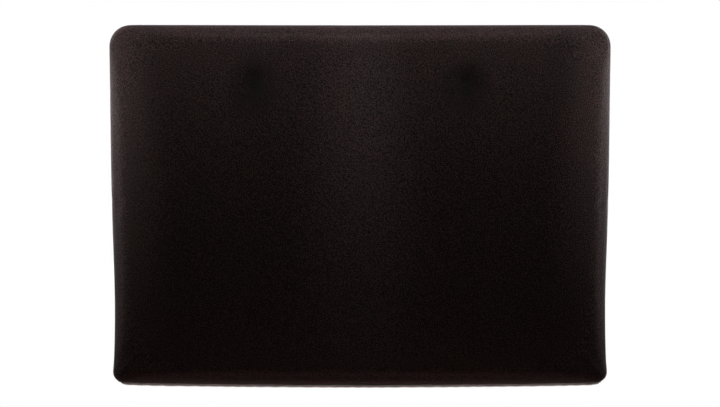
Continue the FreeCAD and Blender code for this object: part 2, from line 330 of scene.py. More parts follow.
def add_cloth(piece, pinned):
    """Puts a cloth simulation on a piece, held at its pinned points and blown up from inside."""
    group = piece.vertex_groups.new(name="pinned")
    group.add([int(i) for i in pinned], 1.0, "REPLACE")
    cloth = piece.modifiers.new("cloth", "CLOTH")
    settings = cloth.settings
    settings.quality = 5
    settings.mass = 0.3
    settings.tension_stiffness = 15
    settings.compression_stiffness = 15
    settings.shear_stiffness = 5
    settings.bending_stiffness = 0.5
    settings.use_pressure = True
    settings.uniform_pressure_force = SIM_PRESSURE
    settings.vertex_group_mass = "pinned"
    settings.effector_weights.gravity = 0
    cloth.point_cache.frame_start, cloth.point_cache.frame_end = 1, SIM_FRAMES
    return cloth


def blown_up(piece, pinned):
    """How far each point moves when the simulation has blown the piece up, at most CROWN."""
    rest = np.array([v.co for v in piece.data.vertices])
    cloth = add_cloth(piece, pinned)
    scene = bpy.context.scene
    for number in range(1, SIM_FRAMES + 1):
        scene.frame_set(number)
    blown = piece.evaluated_get(bpy.context.evaluated_depsgraph_get())
    shift = np.array([v.co for v in blown.data.vertices]) - rest
    scene.frame_set(1)
    piece.modifiers.remove(cloth)
    piece.vertex_groups.clear()
    length = np.maximum(np.linalg.norm(shift, axis=1), TINY)[:, None]
    return shift / length * CROWN * np.tanh(length / CROWN) * (SIDE_GIVE, 1, SIDE_GIVE)


# How the stretched cloth draws the outline. Heights are shares of the half height.
WAIST = 4.2 * MM  # how far the cloth draws the sides in
WAIST_HEIGHT = -0.59
WAIST_SPREAD = 0.46
FLARE = 1.5 * MM  # how far the lower corners stand out again
FLARE_HEIGHT = -0.85
SAG = 1.6 * MM  # how far the whole bottom edge hangs
BOW = 4.1 * MM  # how much further it hangs in its middle
SETTLE_REACH = 25 * MM  # the board holds the cloth, and this far in front of it the cloth is free


def settle(points):
    """Points of a soft part as the stretched cloth draws them: waisted below, and bowed at the bottom."""
    settled = points.copy()
    across = points[:, 0] / HALF_WIDTH
    height = (points[:, 2] - MIDDLE_Z) / HALF_HEIGHT
    front = smooth_step(BOARD_FRONT, BOARD_FRONT + SETTLE_REACH, -points[:, 1])
    waist = WAIST * np.exp(-(((height - WAIST_HEIGHT) / WAIST_SPREAD) ** 2))
    flare = FLARE * smooth_step(-FLARE_HEIGHT, 1, -height)
    settled[:, 0] -= np.sign(across) * across**2 * (waist - flare) * front
    settled[:, 2] -= (SAG + BOW * (1 - across**2)) * np.clip(-height, 0, 1) ** 2 * front
    return settled


DENT_DEPTH = 3.6 * MM
DENT_REACH = 16 * MM
DENT_TAIL = 0.6  # a dent fades this much more slowly downwards


def dented(points):
    """Points of the face with the two dents that the foam cut-outs leave."""
    down = DENT_Z - points[:, 2]
    down = np.where(down > 0, down * DENT_TAIL, down)
    away = np.hypot(np.abs(points[:, 0]) - DENT_X, down) / DENT_REACH
    on_face = smooth_step(FOAM_FRONT - FACE_ROLL, FOAM_FRONT, -points[:, 1])
    points = points.copy()
    points[:, 1] += DENT_DEPTH * np.exp(-(away**2)) * on_face
    return points


def tree_of(points):
    """A tree that finds the nearest of these points."""
    tree = KDTree(len(points))
    for number, point in enumerate(points):
        tree.insert(point, number)
    tree.balance()
    return tree


class Shaped:
    """Remembers how the simulation moved the cover, so that what lies in it can follow."""

    def __init__(self, rest, shift):
        self.shift = shift
        self.tree = tree_of(rest)

    def follow(self, points):
        nearest = [self.tree.find(point)[1] for point in points]
        return dented(settle(points + self.shift[nearest]))


# Materials ------------------------------------------------

# Painted shade: the cloth is coloured darker round a point a little below each dent, standing in for the
# dents' shadow
DENT_SHADE_REACH = 25 * MM
DENT_SHADE_Z = DENT_Z - 9 * MM
DENT_SHADE_SQUAT = 0.8
NAP_SHADE = (0.001, 0.0004, 0.0004)
NAP_TIPS = (0.04, 0.0182, 0.0155), (0.036, 0.0182, 0.0187)
# Painted shade in the dents: darker copies of the nap's colours
DENT_SHADE_BASE = (0.0006, 0.0002, 0.0002)
DENT_SHADE_TIPS = (0.006, 0.0024, 0.0022)
SHEEN_TINT = (1.0, 0.83, 0.81, 1)


class Shader:
    """A material made of nodes. The numbers that are the same all over are set on the shader itself."""

    def __init__(self, name, roughness, gloss=0.5, sheen=0.0, nap=0.5, metallic=0.0):
        self.material = bpy.data.materials.new(name)
        self.material.use_nodes = True
        self.tree = self.material.node_tree
        self.surface = self.tree.nodes["Principled BSDF"]
        self.surface.inputs["Roughness"].default_value = roughness
        self.surface.inputs["Specular IOR Level"].default_value = gloss
        self.surface.inputs["Sheen Weight"].default_value = sheen
        self.surface.inputs["Sheen Roughness"].default_value = nap
        self.surface.inputs["Metallic"].default_value = metallic
        self.place = self.add("ShaderNodeTexCoord").outputs["Object"]

    def add(self, kind, **settings):
        made = self.tree.nodes.new(kind)
        for name, value in settings.items():
            setattr(made, name, value)
        return made

    def wire(self, source, target):
        if isinstance(source, (int, float, tuple)):
            target.default_value = source
        else:
            self.tree.links.new(source, target)

    def stretched(self, stretch):
        """Object coordinates, multiplied by stretch along each axis."""
        mapping = self.add("ShaderNodeMapping")
        mapping.inputs["Scale"].default_value = stretch
        self.wire(self.place, mapping.inputs["Vector"])
        return mapping.outputs["Vector"]

    def noise(self, scale, detail=2.0, roughness=0.5, stretch=(1, 1, 1)):
        texture = self.add("ShaderNodeTexNoise")
        texture.inputs["Scale"].default_value = scale
        texture.inputs["Detail"].default_value = detail
        texture.inputs["Roughness"].default_value = roughness
        self.wire(self.stretched(stretch), texture.inputs["Vector"])
        return texture.outputs["Fac"]

    def cells(self, scale, feature="F1", stretch=(1, 1, 1)):
        texture = self.add("ShaderNodeTexVoronoi", feature=feature)
        texture.inputs["Scale"].default_value = scale
        self.wire(self.stretched(stretch), texture.inputs["Vector"])
        return texture.outputs["Distance"]

    def waves(self, scale, axis, distortion=0.0):
        texture = self.add("ShaderNodeTexWave", bands_direction=axis)
        texture.inputs["Scale"].default_value = scale
        texture.inputs["Distortion"].default_value = distortion
        self.wire(self.place, texture.inputs["Vector"])
        return texture.outputs["Fac"]

    def axes(self, vector):
        """A vector's X, Y and Z."""
        apart = self.add("ShaderNodeSeparateXYZ")
        self.wire(vector, apart.inputs[0])
        return apart.outputs

    def math(self, operation, *values):
        made = self.add("ShaderNodeMath", operation=operation)
        for value, socket in zip(values, made.inputs):
            self.wire(value, socket)
        return made.outputs[0]

    def ramp(self, value, low, high):
        """0 where value is low or less, 1 where it is high or more."""
        made = self.add("ShaderNodeMapRange", clamp=True)
        made.inputs["From Min"].default_value = low
        made.inputs["From Max"].default_value = high
        self.wire(value, made.inputs["Value"])
        return made.outputs["Result"]

    def mixed(self, share, first, second):
        made = self.add("ShaderNodeMix", data_type="RGBA")
        self.wire(share, made.inputs["Factor"])
        self.wire((*first, 1.0) if isinstance(first, tuple) else first, made.inputs[6])
        self.wire((*second, 1.0) if isinstance(second, tuple) else second, made.inputs[7])
        return made.outputs[2]

    def colour(self, value):
        self.wire(value, self.surface.inputs["Base Color"])

    def roughness(self, value, low, high):
        span = self.math("MULTIPLY", value, high - low)
        self.wire(self.math("ADD", span, low), self.surface.inputs["Roughness"])

    def bump(self, height, distance, strength=1.0):
        """Adds a bump on top of those already there."""
        made = self.add("ShaderNodeBump")
        made.inputs["Strength"].default_value = strength
        made.inputs["Distance"].default_value = distance
        self.wire(height, made.inputs["Height"])
        normal = self.surface.inputs["Normal"]
        if normal.links:
            self.wire(normal.links[0].from_socket, made.inputs["Normal"])
        self.wire(made.outputs["Normal"], normal)


def away_from_dent_shade(cloth):
    """0 where shade is painted for the dents, rising to 1 round them, with a ragged edge."""
    place = cloth.axes(cloth.place)
    aside = cloth.math("SUBTRACT", cloth.math("ABSOLUTE", place["X"]), DENT_X)
    down = cloth.math("MULTIPLY", cloth.math("SUBTRACT", place["Z"], DENT_SHADE_Z), DENT_SHADE_SQUAT)
    squares = [cloth.math("POWER", side, 2.0) for side in (aside, down)]
    away = cloth.math("SQRT", cloth.math("ADD", *squares))
    ragged = cloth.math("SUBTRACT", cloth.noise(90, 3.0), 0.5)
    edge = cloth.math("ADD", away, cloth.math("MULTIPLY", ragged, 1.2 * DENT_SHADE_REACH))
    return cloth.ramp(edge, 0.2 * DENT_SHADE_REACH, 1.6 * DENT_SHADE_REACH)


def strike_cloth():
    """Black stretch cloth with a short brushed nap, with shade painted darker in the two dents."""
    cloth = Shader("strike_cloth", roughness=0.95, gloss=0.05, sheen=0.22, nap=0.45)
    cloth.surface.inputs["Sheen Tint"].default_value = SHEEN_TINT
    tufts = cloth.noise(660, 2.0, 0.6, (1, 1, 0.9))
    fibres = cloth.noise(1700, 2.0, 0.5, (1, 1, 0.5))
    brushed = cloth.noise(22, 3.0, 0.5, (1, 1, 0.6))
    mottle = cloth.math("ADD", cloth.math("MULTIPLY", tufts, 0.85), cloth.math("MULTIPLY", fibres, 0.15))
    tips = cloth.mixed(cloth.ramp(brushed, 0.3, 0.7), *NAP_TIPS)
    nap = cloth.mixed(cloth.ramp(mottle, 0.43, 0.65), NAP_SHADE, tips)
    # painted shade for the dents: a darker copy of the nap
    dent_shade = cloth.mixed(cloth.ramp(mottle, 0.42, 0.66), DENT_SHADE_BASE, DENT_SHADE_TIPS)
    cloth.colour(cloth.mixed(away_from_dent_shade(cloth), dent_shade, nap))
    cloth.bump(cloth.noise(60, 2.0), 0.8 * MM, 0.25)
    cloth.bump(tufts, 1.0 * MM, 0.9)
    cloth.bump(fibres, 0.4 * MM, 0.6)
    return cloth.material


def wave_scale(pitch):
    """The wave texture's scale that puts its bands a pitch apart."""
    return math.pi / pitch / 10


def woven_cloth(name, dark, light, pitch):
    """Plain weave: threads along X and Z, over and under each other, a pitch apart."""
    cloth = Shader(name, roughness=0.8, gloss=0.25, sheen=0.15, nap=0.4)
    scale = wave_scale(pitch)
    over = cloth.math("MULTIPLY", cloth.waves(scale, "X"), cloth.waves(scale, "Z"))
    across = cloth.math("MULTIPLY", cloth.waves(scale, "Y"), over)
    weave = cloth.math("ADD", over, across)
    worn = cloth.noise(30, 4.0)
    tone = cloth.mixed(cloth.ramp(weave, 0.1, 0.9), dark, light)
    cloth.colour(cloth.mixed(cloth.math("MULTIPLY", worn, 0.4), tone, dark))
    cloth.bump(weave, 0.25 * MM, 0.7)
    cloth.bump(cloth.noise(1800, 2.0), 0.1 * MM, 0.5)
    return cloth.material


def spun_thread(name, dark, light):
    """Twisted thread with loose fibres."""
    thread = Shader(name, roughness=0.85, gloss=0.2, sheen=0.3)
    twist = thread.noise(2400, 2.0, 0.5, (1, 0.4, 1))
    dirt = thread.noise(60, 3.0)
    tone = thread.mixed(thread.ramp(twist, 0.3, 0.7), dark, light)
    thread.colour(thread.mixed(thread.ramp(dirt, 0.45, 0.75), tone, dark))
    thread.bump(twist, 0.15 * MM, 0.8)
    return thread.material


def spunbond():
    """Black non-woven sheet with a fine grid of pressed dots."""
    sheet = Shader("dust_sheet", roughness=0.7, gloss=0.3)
    dots = sheet.cells(700, "F1", (1, 0.2, 1))
    fibres = sheet.noise(900, 4.0, 0.7, (1, 1, 0.3))
    tone = sheet.mixed(sheet.ramp(fibres, 0.35, 0.7), (0.012, 0.012, 0.013), (0.034, 0.034, 0.036))
    pressed = sheet.ramp(dots, 0.16, 0.3)
    sheet.colour(sheet.mixed(pressed, (0.05, 0.05, 0.052), tone))
    sheet.roughness(fibres, 0.55, 0.85)
    sheet.bump(pressed, 0.12 * MM, 0.7)
    sheet.bump(fibres, 0.1 * MM, 0.6)
    return sheet.material


PLY = 2.4 * MM


def plywood():
    """Birch plywood: long grain on the faces and thin plies at the edges."""
    wood = Shader("plywood", roughness=0.6, gloss=0.3)
    grain = wood.noise(60, 6.0, 0.65, (0.08, 1, 1))
    rays = wood.noise(500, 2.0, 0.5, (0.1, 1, 1))
    face = wood.mixed(wood.ramp(grain, 0.35, 0.7), (0.62, 0.45, 0.27), (0.42, 0.27, 0.14))
    plies = wood.ramp(wood.waves(wave_scale(PLY), "Y"), 0.45, 0.55)
    edge = wood.mixed(plies, (0.33, 0.2, 0.1), (0.6, 0.43, 0.26))
    facing = wood.axes(wood.add("ShaderNodeNewGeometry").outputs["Normal"])
    flat = wood.ramp(wood.math("ABSOLUTE", facing["Y"]), 0.4, 0.6)
    wood.colour(wood.mixed(flat, edge, face))
    wood.roughness(rays, 0.5, 0.75)
    wood.bump(rays, 0.15 * MM, 0.5)
    return wood.material


def extruded_aluminium():
    """Mill-finish extrusion, with die lines along it and light scratches."""
    metal = Shader("cleat", roughness=0.35, metallic=1.0)
    lines = metal.noise(1500, 3.0, 0.6, (0.004, 1, 1))
    blotches = metal.noise(14, 4.0)
    tone = metal.mixed(lines, (0.52, 0.53, 0.55), (0.74, 0.75, 0.77))
    metal.colour(metal.mixed(metal.math("MULTIPLY", blotches, 0.35), tone, (0.45, 0.45, 0.46)))
    metal.roughness(metal.math("ADD", lines, metal.math("MULTIPLY", blotches, 0.4)), 0.22, 0.45)
    metal.bump(lines, 0.08 * MM, 0.5)
    return metal.material


def plated_steel(name, dark, light, metallic):
    """Small steel parts with a mottled finish."""
    metal = Shader(name, roughness=0.35, metallic=metallic)
    mottle = metal.noise(350, 4.0, 0.6)
    fine = metal.noise(2500, 2.0)
    metal.colour(metal.mixed(metal.ramp(mottle, 0.3, 0.7), dark, light))
    metal.roughness(mottle, 0.28, 0.5)
    metal.bump(fine, 0.03 * MM, 0.5)
    return metal.material


def moulded(name, dark, light, grain, rough):
    """Moulded plastic or rubber with a fine spark-eroded grain and dust in it."""
    made = Shader(name, roughness=rough, gloss=0.4)
    texture = made.noise(grain, 3.0, 0.6)
    dust = made.noise(90, 4.0, 0.7)
    made.colour(made.mixed(made.ramp(dust, 0.45, 0.8), dark, light))
    made.roughness(dust, rough - 0.1, rough + 0.15)
    made.bump(texture, 0.1 * MM, 0.6)
    return made.material


def cellular_foam(name, dark, light, cell):
    """Foam with cells of a given size, cut with a hot wire."""
    foam = Shader(name, roughness=0.9, gloss=0.2)
    holes = foam.cells(1 / cell, "DISTANCE_TO_EDGE")
    cloud = foam.noise(25, 3.0)
    tone = foam.mixed(foam.ramp(holes, 0.02, 0.25), light, dark)
    foam.colour(foam.mixed(foam.math("MULTIPLY", cloud, 0.35), tone, light))
    foam.bump(holes, 0.4 * MM, 0.8)
    return foam.material


def pale_floor():
    """Pale matt floor. It glows for the camera alone, so that it looks pale without lighting the pad."""
    floor = Shader("floor", roughness=0.7)
    tone = floor.mixed(floor.noise(3, 4.0), (0.76, 0.76, 0.75), (0.82, 0.82, 0.81))
    floor.colour(tone)
    floor.wire(tone, floor.surface.inputs["Emission Color"])
    seen = floor.add("ShaderNodeLightPath").outputs["Is Camera Ray"]
    floor.wire(seen, floor.surface.inputs["Emission Strength"])
    floor.bump(floor.noise(40, 4.0), 0.5 * MM, 0.2)
    return floor.material


# Soft parts -----------------------------------------------

FINE = Outline(110, 80)
SKIRT_OUTLINE = Outline(240, 172)  # fine enough for its gathers
DUST_OUTLINE = Outline(170, 120)
ROLL_STEPS = 6
SIDE_STEPS = 8

# The cap's back edge turns in behind the foam, as rings of (inset, depth)
TUCK = [(0.7 * MM, BOARD_FRONT + 0.1 * MM), (2.6 * MM, BOARD_FRONT - 0.5 * MM)]

# The gusset's seams draw the cloth in
SEAM_PULL = 1.2 * MM
SEAM_PULL_REACH = 1.5 * MM
SEAM_PULL_PAST = 5 * MM  # past the gusset's ends


def roll_rings(inset, face, radius):
    """Rings round a rolled edge, from just past the flat face to the side."""
    angles = [step * math.pi / 2 / ROLL_STEPS for step in range(1, ROLL_STEPS + 1)]
    return [(inset + radius * (1 - math.sin(a)), face - radius * (1 - math.cos(a))) for a in angles]


def cap_rings():
    """Rings of the cover behind its face: the roll, the seam, the sides and the turned-in back edge."""
    seam = [(0, SEAM_BACK + step) for step in (2.2 * MM, 0.9 * MM, 0, -1.6 * MM)]
    sides = [(0, depth) for depth in np.linspace(SEAM_BACK - 7 * MM, BOARD_FRONT + 1.5 * MM, SIDE_STEPS)]
    return roll_rings(0, FACE, FACE_ROLL) + seam + sides + TUCK


def seam_pull(points):
    """Points of the cap, drawn in a little along the gusset's seam."""
    underside = points[:, 2] < COVER_LOW.z + 2 * MM
    inside = np.abs(points[:, 0]) < GUSSET_HALF + SEAM_PULL_PAST
    along = np.exp(-(((-points[:, 1] - SEAM_BACK) / SEAM_PULL_REACH) ** 2))
    pulled = points.copy()
    pulled[:, 2] += SEAM_PULL * along * underside * inside
    return pulled


def cap_shift(cap, points, loops):
    """How the cap's points move as it swells, its sides' last ring and its tuck held still."""
    return blown_up(cap, np.concatenate(loops[-1 - len(TUCK) :]))
    shift = np.zeros_like(points)
    shift[:, 1] = -QUICK_SWELL * smooth_step(0, QUICK_REACH, HALF_WIDTH - np.abs(points[:, 0]))
    return shift


def underneath(points, loops):
    """The numbers of the points of these rings that lie under the pad, over the gusset's length."""
    low = points[:, 2] < COVER_LOW.z + 0.1 * MM
    narrow = np.abs(points[:, 0]) < GUSSET_HALF + 1 * MM
    return set(np.flatnonzero(low & narrow).tolist()) & set(np.concatenate(loops).tolist())


def strike_cover_and_gusset():
    """The cover's cap, blown up by the simulation, then cut into the cover and its gusset. Also how the cap
    moved, the line of its seam and the stitches near its rim."""
    rings = cap_rings()
    points, faces, loops = loft(FINE, rings, (FACE_ROLL, FACE))
    cap = make_piece("strike_cover", points, faces)
    shift = cap_shift(cap, points, loops)
    shaped = Shaped(points, shift)
    final = seam_pull(dented(settle(points + shift)))
    bpy.data.objects.remove(cap)
    depths = [FACE] + [depth for _, depth in rings]
    first = next(number for number, depth in enumerate(depths) if depth <= SEAM_BACK + SAME)
    last = len(depths) - 1 - len(TUCK)
    bottom = underneath(points, loops[first : last + 1])
    in_gusset = [all(int(i) in bottom for i in face) for face in faces]
    cover_faces = [face for face, is_gusset in zip(faces, in_gusset) if not is_gusset]
    gusset_faces = [face for face, is_gusset in zip(faces, in_gusset) if is_gusset]
    cover = make_piece("strike_cover_cloth", *without_spares(final, cover_faces))
    gusset = make_piece("bottom_gusset_cloth", *without_spares(final, gusset_faces))
    for piece in (cover, gusset):
        subdivide(piece)
        thicken(piece, CLOTH)
    stitching = rim_stitches(final[loops[last - 1]], final[loops[last]])
    return cover, gusset, shaped, final[loops[first - 1]], stitching


RIM_SHARE = 0.4  # the rim's stitches lie this far from the sides' last ring towards the one before
RIM_STEP = 2 * MM
RIM_LIFT = 0.1 * MM
RIM_PITCH, RIM_GAP = 3.6 * MM, 0.8 * MM


def rim_stitches(front_loop, back_loop):
    """The sewn line that holds the skirt inside the cap, all the way round, near the cap's back edge."""
    path = back_loop * (1 - RIM_SHARE) + front_loop * RIM_SHARE
    path = evenly_spaced(np.vstack([path, path[:1]]), RIM_STEP)[0]
    outward = np.cross([0, 1, 0], np.gradient(path, axis=0))
    outward /= np.linalg.norm(outward, axis=1)[:, None]
    threads = stitches(path + outward * RIM_LIFT, outward, RIM_PITCH, RIM_GAP)
    return make_piece("cover_rim_stitching", *threads)


BINDING_DROP = 4.9 * MM  # how far the bound seam stands out of the cloth
BINDING_ROOT = 0.8 * MM  # how far it goes into the cloth
BINDING_HALF = 1.5 * MM  # half of its thickness
BINDING_THIN = 0.35  # its thickness at its ends, as a share
BINDING_SET = 2.6 * MM  # how far in front of the gusset's edge it stands
BINDING_WANDER = 0.35 * MM
BINDING_TAPER = 15 * MM  # the length over which it rises at each end
BINDING_STEP = 0.75 * MM
BINDING_SIDES = 12
OVERLOCK_PITCH = 3.0 * MM
OVERLOCK_STEPS = 12  # points on each loop of thread
OVERLOCK_FROM = 0.25  # the threads start where the binding has this share of its drop
OVERLOCK_LOOPS = ((1, 0.0), (-1, 0.4))  # each thread's way round, and its start in half turns
OVERLOCK_PAST = 0.2 * MM  # how far the loops pass the tape's edge
OVERLOCK_PROUD = 0.15 * MM  # and its sides
ROW_PITCH, ROW_GAP = 2.6 * MM, 0.5 * MM
ROW_DROP = 1.3 * MM
ROW_PROUD = 0.1 * MM
FORWARD = np.array([0.0, -1.0, 0.0])


def bottom_seam_path(seam_loop):
    """The bottom part of the seam's loop, from the left corner to the right, evenly spaced, with the
    direction out of the cloth and the share of its full drop that the binding has at each point."""
    left = int(np.argmin(np.where(seam_loop[:, 2] > MIDDLE_Z, np.inf, seam_loop[:, 0])))
    turned = np.roll(seam_loop, -left, axis=0)
    path, run = evenly_spaced(turned[turned[:, 2] < BINDING_HIGH.z], BINDING_STEP)
    tangent = np.gradient(path, axis=0)
    tangent /= np.linalg.norm(tangent, axis=1)[:, None]
    outward = np.cross(tangent, [0, 1, 0])
    outward *= -np.sign(outward[len(outward) // 2, 2])
    taper = smooth_step(0, BINDING_TAPER, np.minimum(run, run[-1] - run))
    return path, run, outward, taper


def ragged(run):
    """How the binding's drop varies along it, as a factor: from thread to thread, and slowly."""
    teeth = 0.07 * np.sin(run * 1900 + 3 * np.sin(run * 57))
    drift = 0.04 * np.sin(run * 331 + 2 * np.sin(run * 37))
    return 1 + teeth + drift


def squared_off(value, power):
    """A cosine or sine, changed so that the oval it draws has flatter sides."""
    return math.copysign(abs(value) ** power, value)


def binding_tape(centre, outward, taper, drop):
    """The folded tape: an oval section carried along the seam."""
    rings = []
    for step in range(BINDING_SIDES):
        angle = step * 2 * math.pi / BINDING_SIDES
        out = 0.5 + 0.5 * squared_off(math.cos(angle), 0.7)
        aside = BINDING_HALF * squared_off(math.sin(angle), 0.8)
        reach = -BINDING_ROOT + out * (drop + BINDING_ROOT)
        thick = BINDING_THIN + (1 - BINDING_THIN) * taper
        rings.append(centre + outward * reach[:, None] + FORWARD * aside * thick[:, None])
    points = np.stack(rings, axis=1).reshape(-1, 3)
    count = BINDING_SIDES
    faces = [(a, a + count, b + count, b) for a, b in tube_cells(len(centre), count)]
    last = (len(centre) - 1) * count
    faces.append(tuple(range(count)))
    faces.append(tuple(range(last + count - 1, last - 1, -1)))
    return make_piece("seam_binding_tape", points, faces)


def overlock_thread(way, start, turns, at, up, fall):
    """A thread that loops round the tape, way being 1 or -1 for its sense, once in every pitch."""
    angle = way * turns * 2 * math.pi / OVERLOCK_PITCH + start * math.pi
    reach = (fall + OVERLOCK_PAST) * (0.56 + 0.44 * np.cos(angle))
    aside = (BINDING_HALF + OVERLOCK_PROUD) * np.sin(angle)
    return thread_tube(at + up * reach[:, None] + FORWARD * aside[:, None])


def binding_form(seam_loop):
    """The bound seam: a folded tape, overlock threads round it and a row of stitches."""
    path, run, outward, taper = bottom_seam_path(seam_loop)
    centre = path.copy()
    centre[:, 1] = -(SEAM_BACK + BINDING_SET) + BINDING_WANDER * np.sin(run * 46) * np.sin(run * 17 + 1)
    drop = BINDING_DROP * taper * ragged(run)
    tape = binding_tape(centre, outward, taper, drop)
    full = taper > OVERLOCK_FROM
    place = run[full]
    turns = np.arange(place[0], place[-1], OVERLOCK_PITCH / OVERLOCK_STEPS)
    at, up = read_at(turns, run, centre), read_at(turns, run, outward)
    fall = np.interp(turns, run, drop)
    threads = [overlock_thread(way, start, turns, at, up, fall) for way, start in OVERLOCK_LOOPS]
    front = centre[full] + FORWARD * (BINDING_HALF + ROW_PROUD) + outward[full] * ROW_DROP
    threads.append(stitches(front, np.tile(FORWARD, (len(front), 1)), ROW_PITCH, ROW_GAP))
    return tape, make_piece("seam_binding_threads", *joined(threads))


FOLD_PITCH = 2.6  # in points of the skirt's rings
FOLD_DEPTH = 0.9 * MM


def skirt_rings():
    """Rings of the skirt: out of the cap's back edge, down the board's edge and in over its back."""
    wall_inset = BOARD_INSET - CLOTH
    start = [(1.2 * MM, BOARD_FRONT - 1.2 * MM), (2.9 * MM, BOARD_FRONT - 2.2 * MM)]
    side = [(wall_inset, depth) for depth in np.linspace(BOARD_FRONT - 4.5 * MM, BOARD_BACK + 2.4 * MM, 5)]
    turn = [(wall_inset + 0.4 * MM, SKIRT_BACK + 1.6 * MM), (wall_inset + 1.5 * MM, SKIRT_BACK + 0.4 * MM)]
    lip = [(inset, SKIRT_BACK) for inset in (7 * MM, 9 * MM, 11 * MM, 14 * MM, 24 * MM, 34 * MM, SKIRT_LIP)]
    return start + side + turn + lip


def cover_skirt():
    """The skirt, with gathers where it goes round the board's corners."""
    rings = skirt_rings()
    points, faces, loops = loft(SKIRT_OUTLINE, rings)
    piece = make_piece("cover_skirt_cloth", points, faces)
    normals = np.array([v.normal for v in piece.data.vertices])
    corner = SKIRT_OUTLINE.cornering(0)
    step = np.arange(SKIRT_OUTLINE.count)
    folds = 0.5 - 0.5 * np.cos(step * 2 * math.pi / FOLD_PITCH + 0.8 * np.sin(step * 0.7))
    for loop, (inset, depth) in zip(loops, rings):
        gather = smooth_step(BOARD_FRONT - 4 * MM, BOARD_BACK, depth)
        fade = 1 - smooth_step(8 * MM, 12.5 * MM, inset)
        points[loop] += normals[loop] * (FOLD_DEPTH * gather * fade * corner * folds)[:, None]
    piece.data.vertices.foreach_set("co", points.ravel())
    piece.data.update()
    thicken(piece, CLOTH)
    return piece


SHEET = 0.5 * MM
STEP_WIDTH = 9 * MM  # over this width, inside the skirt's lip, the sheet steps in to the board
RIM_LIFTS = 0.8 * MM  # how far its rim lifts between the staples
RIM_WIDTH = 12 * MM
EDGE_LIFT = 0.35 * MM  # how far its cut edge lifts
SLACK = 1.0 * MM  # how far it hangs from the board inside the step


def from_staples(x, z):
    """How far each point of the sheet's rim is from the nearest staple."""
    staples = tree_of([v.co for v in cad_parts["dust_cover_staples"].data.vertices])
    return np.array([staples.find((px, -SHEET_RIM, pz))[2] for px, pz in zip(x, z)])


def slack_share(x, z, inside):
    """1 where the sheet hangs free, falling to 0 at the cleat, at the bumpers and at its step."""
    clear_x = smooth_step(CLEAT_HIGH.x + 4 * MM, CLEAT_HIGH.x + 16 * MM, np.abs(x))
    from_cleat = np.maximum(CLEAT_LOW.z + 10 * MM - z, z - CLEAT_HIGH.z - 4 * MM)
    clear_z = smooth_step(0, 30 * MM, from_cleat)
    bumper_x = (BUMPER_LOW.x + BUMPER_HIGH.x) / 2
    bumper_z = (BUMPER_LOW.z + BUMPER_HIGH.z) / 2
    from_bumper = np.hypot(np.abs(x) - bumper_x, z - bumper_z)
    free = np.maximum(clear_x, clear_z) * smooth_step(18 * MM, 45 * MM, from_bumper)
    return free * smooth_step(SKIRT_LIP + 4 * MM, SKIRT_LIP + 40 * MM, inside)


def dust_sheet():
    """The thin sheet on the back: taut at its staples, slack between them, stepping in to the board."""
    x, z, edge = DUST_OUTLINE.plate(DUST_INSET)
    inside = np.minimum(HALF_WIDTH - np.abs(x), HALF_HEIGHT - np.abs(z - MIDDLE_Z))
    step = smooth_step(SKIRT_LIP - 1 * MM, SKIRT_LIP + STEP_WIDTH, inside)
    depth = SHEET_RIM + (PAD_BACK - SHEET_RIM) * step
    rim = 1 - smooth_step(SKIRT_LIP - RIM_WIDTH, SKIRT_LIP, inside)
    depth -= RIM_LIFTS * smooth_step(4 * MM, 30 * MM, from_staples(x, z)) * rim
    waves = 0.6 + 0.25 * np.sin(x * 21 + 2 * np.sin(z * 9)) + 0.15 * np.sin(z * 37 + x * 11)
    depth -= SLACK * slack_share(x, z, inside) * waves
    points = np.column_stack([x, -depth, z])
    points[edge, 1] -= EDGE_LIFT
    piece = make_piece("dust_cover_sheet", points, DUST_OUTLINE.plate_faces(facing_wall=True))
    thicken(piece, SHEET)
    return piece


EASE = 1.5 * MM  # how far the foams' edges are softened
POCKET_R = 14 * MM
POCKET_SIDES = 48
POCKET_PAST = 3 * MM, 9 * MM  # how far the cutter starts behind the layer, and ends in front of it


def foam_block(name, back, front, roll, shaped):
    """A foam layer with softened edges. With shaped, its front follows the cover as it was blown up."""
    rings = roll_rings(FOAM_INSET, front, roll)
    rings += [(FOAM_INSET, depth) for depth in np.linspace(front - roll, back + EASE, 4)[1:]]
    rings += [(FOAM_INSET + 0.4 * EASE, back + 0.4 * EASE), (FOAM_INSET + EASE, back)]
    points, faces, loops = loft(FINE, rings, (FOAM_INSET + roll, front))
    faces.append(tuple(loops[-1][::-1]))
    final = settle(points)
    if shaped:
        share = smooth_step(back, front, -points[:, 1])[:, None]
        final = final * (1 - share) + shaped.follow(points) * share
    return make_piece(name, final, faces)


def pocket_cutter(side, back, front):
    """A cylinder where a layer's access hole is, side being 1 for the right one and -1 for the left."""
    count = POCKET_SIDES
    angles = np.arange(count) * 2 * math.pi / count
    ring = np.column_stack([np.cos(angles), np.zeros(count), np.sin(angles)]) * POCKET_R
    ring += (side * DENT_X, 0, DENT_Z)
    near = ring + [0, -back + POCKET_PAST[0], 0]
    far = ring + [0, -front - POCKET_PAST[1], 0]
    sides = [(i, (i + 1) % count, count + (i + 1) % count, count + i) for i in range(count)]
    caps = [tuple(range(count - 1, -1, -1)), tuple(range(count, 2 * count))]
    return make_piece("pocket_cutter", np.concatenate([near, far]), sides + caps)


def bore_pockets(piece, back, front):
    """Cuts the two access holes over the tee nuts out of a foam layer."""
    for side in (-1, 1):
        cutter = pocket_cutter(side, back, front)
        cut = piece.modifiers.new("pocket", "BOOLEAN")
        cut.operation, cut.solver, cut.object = "DIFFERENCE", "EXACT", cutter
        shown = piece.evaluated_get(bpy.context.evaluated_depsgraph_get())
        mesh = bpy.data.meshes.new_from_object(shown)
        piece.modifiers.remove(cut)
        piece.data = mesh
        bpy.data.objects.remove(cutter)


# Assembly -------------------------------------------------


def paint(piece, material):
    """Puts a material on the whole piece, in place of any it has."""
    if piece.data.materials:
        for material_slot in piece.material_slots:
            material_slot.material = material
    else:
        piece.data.materials.append(material)


def press(piece):
    """Gives a piece its own copy of its mesh."""
    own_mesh(piece)


